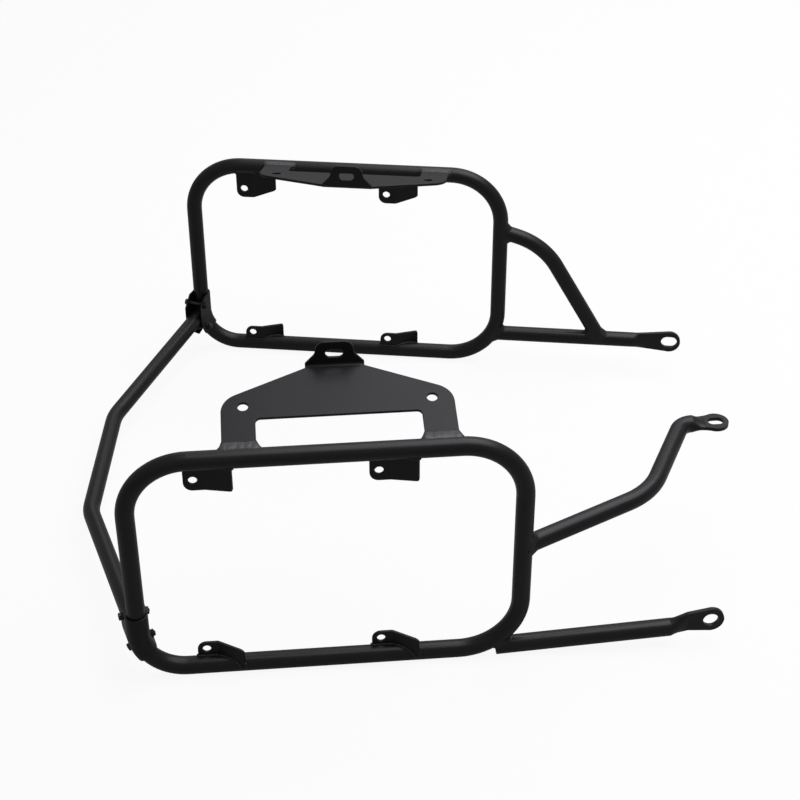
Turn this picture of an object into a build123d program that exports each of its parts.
from build123d import *
import os
from math import cos, degrees, radians, sin, sqrt, tan

# A pair of motorbike pannier frames of bent steel tube, joined at the rear by a crossbar.
# Millimetres, X forward, Y to the rider's left, Z up. The set stands on its two bottom rails.
# The right side is drawn in its own axes from the middle of its hoop: along (forward), inside
# (towards the motorbike) and rise (up). The left side is its mirror image, apart from the struts.

# Tube and sheet
tube_diameter = 18.0
tube_wall = 2.0
sheet = 3.0

# Hoops
hoop_length = 370.0       # between the centre lines of the uprights
hoop_height = 245.0       # between the centre lines of the rails
hoop_corner = 60.0        # bend radius on the centre line
hoop_rear_corner = 45.0   # bend radius of the lower rear corner
frame_spacing = 570.0     # between the two hoops at mid-length
toe_in = 5.5              # degrees that each hoop turns in at the front

# Pannier tabs
tab_first = 64.0          # first hole, ahead of the rear upright
tab_spacing = 170.0       # from the first hole to the second
tab_top_drop = 26.0       # hole below the top rail's centre line
tab_bottom_rise = 17.0    # hole above the bottom rail's centre line
tab_hole_diameter = 8.4
tab_margin = 9.0          # from the hole to the rounded end
tab_top_edge = 11.2       # from a top tab's hole to its free edge
tab_bottom_edge = 7.8
tab_flat = 11.0           # from the hole to the fold
tab_reach = 25.0          # from the fold forward to the far end
tab_top_inside = 6.5      # how far inside the rail's centre line the holed end lies
tab_top_outside = 4.9     # how far outside it the far end lies
tab_top_taper = 4.8       # how much less a top tab stands off the rail at its far end
tab_bottom_inside = 4.0
tab_bottom_outside = 9.5
tab_bottom_taper = 2.5
tab_fold = 5.0            # bend radius at mid-thickness
tab_end_round = 8.8       # corner past the hole
tab_edge_round = 24.0     # free edge at the fold
tab_small_corner = 5.5

# Top brackets
bracket_rear_gap = 32.0   # from the top rail's rear bend to the rear leg
bracket_front_gap = 2.0   # from the front leg to the top rail's front bend
bracket_leg = 31.5        # width of a leg
bracket_shoulder = 66.0   # height of the outer edges up the slope, from the rail's centre line
bracket_shoulder_round = 23.0
bracket_fold_at = 102.0   # fold line up the slope
bracket_fold_half = 28.0
bracket_slope = 14.0      # degrees above level
bracket_above = 4.2       # mid-thickness above the rail's centre line
window_top = 42.0         # up the slope, as the shoulder is
window_round = 5.0
bracket_hole_in = 20.5    # from the outer edge
bracket_hole_at = 57.0
bracket_hole_diameter = 10.0
lip_height = 27.0         # upturned tab above the fold line
lip_half = 17.0
lip_shoulder = 10.0       # height at which the flared foot of the lip ends
lip_flare = 1.5           # how much wider than its top the lip is there
lip_round = 9.0
lip_fold = 4.0            # bend radius at mid-thickness
lip_slot_at = 14.5
lip_slot_length = 17.0
lip_slot_width = 9.0

# Flattened strut ends
tongue_width = 27.0       # round the eye
tongue_neck = 21.0        # where it leaves the tube
tongue_thickness = 4.0
crush_length = 18.0       # from round tube to flat tongue

# Right lower strut, straight, in the plane of the hoop. A strut's places are ahead of the front upright
right_lower_start = -23.0     # at the square cut end under the hoop's corner
right_lower_meets = -35.0     # where its centre line crosses the bottom rail's
right_lower_pitch = 3.2       # degrees that it climbs to the front
right_lower_crush = 151.0     # where the flattening starts
right_lower_eye = 41.0        # from there to the eye
right_lower_shift = 5.0       # tongue above the tube's centre line
right_lower_eye_length = 15.5
right_lower_eye_width = 15.0

# Right upper strut: out of the front upright, in towards the motorbike, then forward
right_upper_rise = 2.0        # above the middle of the hoop
right_upper_bend = (135.0, 60.0, 11.0)
right_upper_elbow = (189.0, 165.0, 16.0)
right_upper_bend_radius = 75.0
right_upper_elbow_radius = 18.0
right_upper_straight = 11.0   # from the elbow's corner to where the flattening starts
right_upper_eye = 25.0
right_upper_crush = 14.0
right_upper_eye_length = 16.5
right_upper_eye_width = 11.5

# Left lower strut, level
left_lower_height = 31.5      # above the bottom rail's centre line
left_lower_crush = 167.0
left_lower_eye = 44.5
left_lower_eye_length = 19.5
left_lower_eye_width = 14.5

# Left upper strut, from the front upright down to the lower strut
left_upper_below = 11.0       # below the front upright's top bend
left_upper_bend = 52.0
left_upper_bend_drop = 16.0   # from the upright to the bend's corner
left_upper_foot = 126.0       # on the lower strut's centre line
left_upper_bend_radius = 85.0

# Crossbar and its clamps. A clamp's places run along the hoop, down from the lower rear bend's start
crossbar_reach = 265.0        # behind the middle of the hoops
crossbar_half = 89.0          # half the distance between its two bends
crossbar_height = 27.5        # middle stretch above the bottom rails' centre lines
crossbar_bend_radius = 60.0
clamp_top = -24.0
clamp_end = 26.0
clamp_sheet = 2.0
clamp_leg = 24.0              # from the hoop's centre line to the end of a leg
clamp_leg_end = 32.0          # width of a leg at its end
clamp_leg_flare = 43.0        # degrees that its edges spread towards the hoop
clamp_clearance = 0.15        # round the hoop
crossbar_run = 4.0            # where the crossbar's centre line meets the hoop's
crossbar_clearance = 0.5      # between the crossbar and the clamps
bolt_runs = (-14.0, 19.0)
bolt_inside = 13.5            # down the legs from the hoop's centre line
bolt_diameter = 4.0
bolt_clearance = 0.4          # added to the bolt's diameter for its holes
nut_clearance = 0.1           # added to the bolt's diameter for the nut's bore
hex_across_flats = 7.0
bolt_head_height = 2.8
nut_height = 2.6
washer_diameter = 9.0
washer_thickness = 0.8
bolt_past_nut = 0.8

# Worked out from the driving dimensions
tube_radius = tube_diameter/2
tube_bore_radius = tube_radius - tube_wall
cut_depth = 2*tube_diameter   # reaches past every piece that lies on a hoop
half_length = hoop_length/2
half_height = hoop_height/2
rear_reach = crossbar_reach + tube_radius
left_tip = half_length + left_lower_crush + left_lower_eye + tongue_width/2
toe = radians(toe_in)
front_reach = left_tip*cos(toe) + tongue_thickness/2*sin(toe)
hoop_centre = Vector((rear_reach - front_reach)/2, -frame_spacing/2, half_height + tube_radius)
forward = Vector(1, 0, 0).rotate(Axis.Z, toe_in)
inward = Vector(0, 1, 0).rotate(Axis.Z, toe_in)
up = Vector(0, 0, 1)
outward = inward*-1

os.makedirs("parts", exist_ok=True)


def spot(along, inside, rise):
    """A point of the right side, from the middle of its hoop."""
    return hoop_centre + forward*along + inward*inside + up*rise


def side_plane(inside=0.0):
    """The right hoop's plane, moved inside: x forward, y up, z outward."""
    return Plane(origin=spot(0, inside, 0), x_dir=forward, z_dir=outward)


def level_plane(rise):
    """A level plane of the right side: x forward, y inward, z up."""
    return Plane(origin=spot(0, 0, rise), x_dir=forward, z_dir=up)


def bar_along(path, radius):
    """Filled round bar swept along a line."""
    with BuildPart() as bar:
        with BuildSketch(Plane(origin=path @ 0, z_dir=path % 0)):
            Circle(radius)
        sweep(path=path)
    return bar.part


def tube_along(path):
    """Round tube swept along a line."""
    with BuildPart() as tube:
        with BuildSketch(Plane(origin=path @ 0, z_dir=path % 0)):
            Circle(tube_radius)
            Circle(tube_bore_radius, mode=Mode.SUBTRACT)
        sweep(path=path)
    return tube.part


def keep(name, piece):
    """Label a finished piece and write it."""
    piece.label = name
    export_step(piece, f"parts/{name}.step")


def keep_mirrored(name, piece):
    """Write the left side's mirror image of a right-side piece."""
    with BuildPart() as left_piece:
        mirror(piece, about=Plane.XZ)
    keep(name, left_piece.part)


# Hoop centre line, and the filled bar that other pieces are fitted against
with BuildLine(side_plane()) as hoop_line:
    FilletPolyline(
        (-half_length, -half_height),
        (half_length, -half_height),
        (half_length, half_height),
        (-half_length, half_height),
        radius=(hoop_rear_corner, hoop_corner, hoop_corner, hoop_corner),
        close=True,
    )
hoop_bar = bar_along(hoop_line.line, tube_radius)

# Hoop: a closed ring of bent tube
right_hoop = tube_along(hoop_line.line)
keep("right_hoop", right_hoop)
keep_mirrored("left_hoop", right_hoop)

# Top bracket: a sloping plate on two legs, with its lip folded upright
bracket_rear = -half_length + hoop_corner + bracket_rear_gap
bracket_front = half_length - hoop_corner - bracket_front_gap
bracket_along = (bracket_rear + bracket_front)/2
bracket_half = (bracket_front - bracket_rear)/2
bracket_hole_half = bracket_half - bracket_hole_in
window_half = bracket_half - bracket_leg
slope = radians(bracket_slope)
up_slope = inward*cos(slope) + up*sin(slope)
off_slope = up*cos(slope) - inward*sin(slope)
bracket_origin = spot(bracket_along, 0, half_height) + off_slope*bracket_above
fold_point = bracket_origin + up_slope*bracket_fold_at
fold_centre = fold_point + off_slope*lip_fold
lip_foot = fold_centre + inward*lip_fold
lip_straight = lip_height - (lip_foot - fold_point).dot(up)

half_rounds = (0, 0, bracket_shoulder_round, 0)
edge_rounds = half_rounds + half_rounds[::-1] + (window_round, window_round)

with BuildPart() as right_top_bracket:
    with BuildSketch(Plane(origin=bracket_origin, x_dir=forward, z_dir=off_slope)):
        with BuildLine():
            FilletPolyline(
                (-window_half, 0),
                (-bracket_half, 0),
                (-bracket_half, bracket_shoulder),
                (-bracket_fold_half, bracket_fold_at),
                (bracket_fold_half, bracket_fold_at),
                (bracket_half, bracket_shoulder),
                (bracket_half, 0),
                (window_half, 0),
                (window_half, window_top),
                (-window_half, window_top),
                radius=edge_rounds,
                close=True,
            )
        make_face()
        with Locations((-bracket_hole_half, bracket_hole_at), (bracket_hole_half, bracket_hole_at)):
            Circle(bracket_hole_diameter/2, mode=Mode.SUBTRACT)
    extrude(amount=sheet/2, both=True)
    with BuildSketch(Plane(origin=fold_point, x_dir=forward, z_dir=up_slope)):
        Rectangle(2*bracket_fold_half, sheet)
    revolve(axis=Axis(fold_centre, forward), revolution_arc=90 - bracket_slope)
    with BuildSketch(Plane(origin=lip_foot, x_dir=forward, z_dir=outward)):
        with BuildLine():
            FilletPolyline(
                (-bracket_fold_half, 0),
                (-lip_half - lip_flare, lip_shoulder),
                (-lip_half, lip_straight),
                (lip_half, lip_straight),
                (lip_half + lip_flare, lip_shoulder),
                (bracket_fold_half, 0),
                radius=(0, lip_round, lip_round, lip_round, lip_round, 0),
                close=True,
            )
        make_face()
        with Locations((0, lip_slot_at - lip_height + lip_straight)):
            SlotOverall(lip_slot_length, lip_slot_width, mode=Mode.SUBTRACT)
    extrude(amount=sheet/2, both=True)
    add(hoop_bar, mode=Mode.SUBTRACT)
keep("right_top_bracket", right_top_bracket.part)
keep_mirrored("left_top_bracket", right_top_bracket.part)


def pannier_tab(hole_along, rail_rise, to_hole, to_edge, inside, outside, taper):
    """Folded tab: to_hole is from the rail's centre line, below zero for a hanging tab."""
    away = 1 if to_hole > 0 else -1
    rear = hole_along - tab_margin
    fold = hole_along + tab_flat
    front = fold + tab_reach
    edge = to_hole + away*to_edge
    front_edge = edge - away*taper
    with BuildPart() as tab:
        with BuildSketch(level_plane(rail_rise)):
            with BuildLine():
                FilletPolyline(
                    (rear, inside),
                    (fold, inside),
                    (front, -outside),
                    radius=tab_fold,
                )
            trace(line_width=sheet)
        extrude(amount=edge)
        with BuildSketch(side_plane()):
            with BuildLine():
                FilletPolyline(
                    (rear, rail_rise),
                    (rear, rail_rise + edge),
                    (fold, rail_rise + edge),
                    (front + sheet/2, rail_rise + front_edge),
                    (front + sheet/2, rail_rise),
                    radius=(0, tab_end_round, tab_edge_round, tab_small_corner, 0),
                    close=True,
                )
            make_face()
            with Locations((hole_along, rail_rise + to_hole)):
                Circle(tab_hole_diameter/2, mode=Mode.SUBTRACT)
        extrude(amount=cut_depth, both=True, mode=Mode.INTERSECT)
        add(hoop_bar, mode=Mode.SUBTRACT)
    return tab.part


tab_rear_hole = -half_length + tab_first
tab_front_hole = tab_rear_hole + tab_spacing
top_tab = (half_height, -tab_top_drop, tab_top_edge, tab_top_inside, tab_top_outside, tab_top_taper)
bottom_tab = (
    -half_height,
    tab_bottom_rise,
    tab_bottom_edge,
    tab_bottom_inside,
    tab_bottom_outside,
    tab_bottom_taper,
)
for level, shape in (("top", top_tab), ("bottom", bottom_tab)):
    for end, hole_along in (("rear", tab_rear_hole), ("front", tab_front_hole)):
        tab = pannier_tab(hole_along, *shape)
        keep(f"right_tab_{level}_{end}", tab)
        keep_mirrored(f"left_tab_{level}_{end}", tab)


def flattened_end(start, crush, to_eye, shift, eye_length, eye_width):
    """Tube end pressed flat: start has z along the tube and x across the tongue."""
    with BuildPart() as tongue:
        with BuildSketch(start):
            with BuildLine():
                for quarter in range(4):
                    CenterArc((0, 0), tube_radius, 45 + 90*quarter, 90)
            make_face()
        with BuildSketch(start.offset(crush)):
            with Locations((shift, 0)):
                Rectangle(tongue_neck, tongue_thickness)
        loft()
        flat = Plane(
            origin=start.origin + start.z_dir*crush + start.x_dir*shift,
            x_dir=start.z_dir,
            z_dir=start.y_dir,
        )
        with BuildSketch(flat):
            with BuildLine():
                Polyline(
                    (0, -tongue_neck/2),
                    (to_eye - crush, -tongue_width/2),
                    (to_eye - crush, tongue_width/2),
                    (0, tongue_neck/2),
                    close=True,
                )
            make_face()
            with Locations((to_eye - crush, 0)):
                Circle(tongue_width/2)
                SlotOverall(eye_length, eye_width, mode=Mode.SUBTRACT)
        extrude(amount=tongue_thickness/2, both=True)
    return tongue.part


def front_centre(rise):
    """Along of the hoop's centre line on its front side, at a rise."""
    into_corner = max(0.0, abs(rise) - half_height + hoop_corner)
    return half_length - hoop_corner + sqrt(hoop_corner**2 - into_corner**2)


def ahead(reach, inside, rise):
    """A point of the right side, ahead of the front upright."""
    return spot(half_length + reach, inside, rise)


# Right lower strut
pitch = radians(right_lower_pitch)
right_lower_run = forward*cos(pitch) + up*sin(pitch)
right_lower_across = up*cos(pitch) - forward*sin(pitch)
right_lower_root = ahead(right_lower_meets, 0, -half_height)
right_lower_first = right_lower_root + right_lower_run*((right_lower_start - right_lower_meets)/cos(pitch))
right_lower_last = right_lower_root + right_lower_run*((right_lower_crush - right_lower_meets)/cos(pitch))
with BuildLine() as right_lower_line:
    Line(right_lower_first, right_lower_last)
with BuildPart() as right_lower_strut:
    add(tube_along(right_lower_line.line))
    add(
        flattened_end(
            Plane(origin=right_lower_last, x_dir=right_lower_across, z_dir=right_lower_run),
            crush_length,
            right_lower_eye,
            right_lower_shift,
            right_lower_eye_length,
            right_lower_eye_width,
        )
    )
    add(hoop_bar, mode=Mode.SUBTRACT)
keep("right_lower_strut", right_lower_strut.part)

# Right upper strut
right_upper_root = spot(front_centre(right_upper_rise), 0, right_upper_rise)
right_upper_last = ahead(*right_upper_elbow) + forward*right_upper_straight
with BuildLine() as right_upper_line:
    FilletPolyline(
        right_upper_root,
        ahead(*right_upper_bend),
        ahead(*right_upper_elbow),
        right_upper_last,
        radius=(right_upper_bend_radius, right_upper_elbow_radius),
    )
with BuildPart() as right_upper_strut:
    add(tube_along(right_upper_line.line))
    add(
        flattened_end(
            Plane(origin=right_upper_last, x_dir=inward, z_dir=forward),
            right_upper_crush,
            right_upper_eye,
            0,
            right_upper_eye_length,
            right_upper_eye_width,
        )
    )
    add(hoop_bar, mode=Mode.SUBTRACT)
keep("right_upper_strut", right_upper_strut.part)

# Left lower strut, drawn on the right and mirrored
left_lower_rise = -half_height + left_lower_height
left_lower_root = spot(front_centre(left_lower_rise), 0, left_lower_rise)
left_lower_last = ahead(left_lower_crush, 0, left_lower_rise)
with BuildLine() as left_lower_line:
    Line(left_lower_root, left_lower_last)
with BuildPart() as left_lower_strut:
    add(tube_along(left_lower_line.line))
    add(
        flattened_end(
            Plane(origin=left_lower_last, x_dir=up, z_dir=forward),
            crush_length,
            left_lower_eye,
            0,
            left_lower_eye_length,
            left_lower_eye_width,
        )
    )
    add(hoop_bar, mode=Mode.SUBTRACT)
left_lower_bar = bar_along(left_lower_line.line, tube_radius)
keep_mirrored("left_lower_strut", left_lower_strut.part)

# Left upper strut, drawn on the right and mirrored
left_upper_rise = half_height - hoop_corner - left_upper_below
with BuildLine() as left_upper_line:
    FilletPolyline(
        ahead(0, 0, left_upper_rise),
        ahead(left_upper_bend, 0, left_upper_rise - left_upper_bend_drop),
        ahead(left_upper_foot, 0, left_lower_rise),
        radius=left_upper_bend_radius,
    )
with BuildPart() as left_upper_strut:
    add(tube_along(left_upper_line.line))
    add(hoop_bar, mode=Mode.SUBTRACT)
    add(left_lower_bar, mode=Mode.SUBTRACT)
keep_mirrored("left_upper_strut", left_upper_strut.part)

# Clamp: a folded U round the hoop's tube, its legs along the crossbar
bend_along = -half_length + hoop_rear_corner
bend_rise = -half_height + hoop_rear_corner


def hoop_turn(run):
    """Angle round the lower rear bend, so far along the hoop from the bend's start."""
    return max(run, 0.0)/hoop_rear_corner


def hoop_point(run):
    """A point of the hoop's centre line, on the rear upright or round the lower rear bend."""
    turn = hoop_turn(run)
    along = bend_along - hoop_rear_corner*cos(turn)
    return spot(along, 0, bend_rise - hoop_rear_corner*sin(turn) - min(run, 0.0))


right_end = hoop_point(crossbar_run)
right_bend = Vector(hoop_centre.X - crossbar_reach, -crossbar_half, tube_radius + crossbar_height)
crossbar_way = (right_bend - right_end).normalized()
end_turn = hoop_turn(crossbar_run)
end_radial = (forward*cos(end_turn) + up*sin(end_turn))*-1
lean = radians(inward.get_angle(inward*crossbar_way.dot(inward) + end_radial*crossbar_way.dot(end_radial)))


def clamp_plane(run):
    """Across the hoop's tube: x from leg to leg, y down the legs, z along the hoop."""
    turn = hoop_turn(run)
    radial = (forward*cos(turn) + up*sin(turn))*-1
    tangent = forward*sin(turn) - up*cos(turn)
    return Plane(origin=hoop_point(run), x_dir=radial*cos(lean) - inward*sin(lean), z_dir=tangent)


with BuildLine(side_plane()) as clamp_line:
    Line((-half_length, bend_rise - clamp_top), (-half_length, bend_rise))
    CenterArc((bend_along, bend_rise), hoop_rear_corner, 180, degrees(hoop_turn(clamp_end)))


def u_along(inner_radius, outer_radius):
    """The U swept along the hoop, between two radii round the tube."""
    middle = (inner_radius + outer_radius)/2
    with BuildPart() as u_piece:
        with BuildSketch(clamp_plane(clamp_top)):
            with BuildLine():
                Line((middle, clamp_leg), (middle, 0))
                CenterArc((0, 0), middle, 0, -180)
                Line((-middle, 0), (-middle, clamp_leg))
            trace(line_width=outer_radius - inner_radius)
        sweep(path=clamp_line.line)
    return u_piece.part


clamp_inner = tube_radius + clamp_clearance
clamp_outer = clamp_inner + clamp_sheet
bolt_hole_radius = (bolt_diameter + bolt_clearance)/2
hollow_lift = (washer_diameter/2)**2/(2*(hoop_rear_corner - clamp_outer))   # in the hollow of the bend


def bolt_plane(run):
    """Along a bolt: z from the inner leg to the outer one, at the middle of the U."""
    across = clamp_plane(run)
    return Plane(origin=across.origin + across.y_dir*bolt_inside, x_dir=across.z_dir, z_dir=across.x_dir)


clamp_leg_spread = 2*clamp_leg*tan(radians(clamp_leg_flare))
with BuildPart() as right_saddle:
    add(u_along(clamp_inner, clamp_outer))
    for run in bolt_runs:
        with BuildSketch(bolt_plane(run)):
            Circle(bolt_hole_radius)
        extrude(amount=cut_depth, both=True, mode=Mode.SUBTRACT)
    across = clamp_plane(crossbar_run)
    with BuildSketch(Plane(origin=across.origin, x_dir=across.y_dir, z_dir=across.x_dir)):
        with BuildLine():
            Polyline(
                (clamp_leg, -clamp_leg_end/2),
                (clamp_leg, clamp_leg_end/2),
                (-clamp_leg, clamp_leg_end/2 + clamp_leg_spread),
                (-clamp_leg, -clamp_leg_end/2 - clamp_leg_spread),
                close=True,
            )
        make_face()
    extrude(amount=cut_depth, both=True, mode=Mode.INTERSECT)
keep("right_saddle", right_saddle.part)
keep_mirrored("left_saddle", right_saddle.part)

# Crossbar: a tube with two bends, its ends shaped to the hoops and lying between the clamps' legs
with BuildLine() as crossbar_line:
    FilletPolyline(
        right_end,
        right_bend,
        Vector(right_bend.X, -right_bend.Y, right_bend.Z),
        Vector(right_end.X, -right_end.Y, right_end.Z),
        radius=crossbar_bend_radius,
    )
with BuildPart() as right_end_room:
    add(bar_along(hoop_line.line, clamp_inner))
    add(u_along(clamp_inner - crossbar_clearance, clamp_outer + crossbar_clearance))
with BuildPart() as crossbar:
    add(tube_along(crossbar_line.line))
    add(right_end_room.part, mode=Mode.SUBTRACT)
    mirror(right_end_room.part, about=Plane.XZ, mode=Mode.SUBTRACT)
keep("crossbar", crossbar.part)

# Clamp fasteners: head on the outer leg, nut on the inner one, a washer under each
outer_seat = clamp_outer + washer_thickness
inner_seat = clamp_outer + hollow_lift + washer_thickness
bolt_length = outer_seat + inner_seat + nut_height + bolt_past_nut
with BuildPart() as saddle_bolts:
    for run in bolt_runs:
        with BuildSketch(bolt_plane(run).offset(outer_seat)):
            RegularPolygon(hex_across_flats/2, 6, major_radius=False)
        extrude(amount=bolt_head_height)
        with BuildSketch(bolt_plane(run).offset(outer_seat)):
            Circle(bolt_diameter/2)
        extrude(amount=-bolt_length)
    mirror(about=Plane.XZ)
keep("saddle_bolts", saddle_bolts.part)

with BuildPart() as saddle_washers:
    for run in bolt_runs:
        for seat, way in ((outer_seat, -1), (-inner_seat, 1)):
            with BuildSketch(bolt_plane(run).offset(seat)):
                Circle(washer_diameter/2)
                Circle(bolt_hole_radius, mode=Mode.SUBTRACT)
            extrude(amount=way*washer_thickness)
    mirror(about=Plane.XZ)
keep("saddle_washers", saddle_washers.part)

with BuildPart() as saddle_nuts:
    for run in bolt_runs:
        with BuildSketch(bolt_plane(run).offset(-inner_seat)):
            RegularPolygon(hex_across_flats/2, 6, major_radius=False)
            Circle((bolt_diameter + nut_clearance)/2, mode=Mode.SUBTRACT)
        extrude(amount=-nut_height)
    mirror(about=Plane.XZ)
keep("saddle_nuts", saddle_nuts.part)
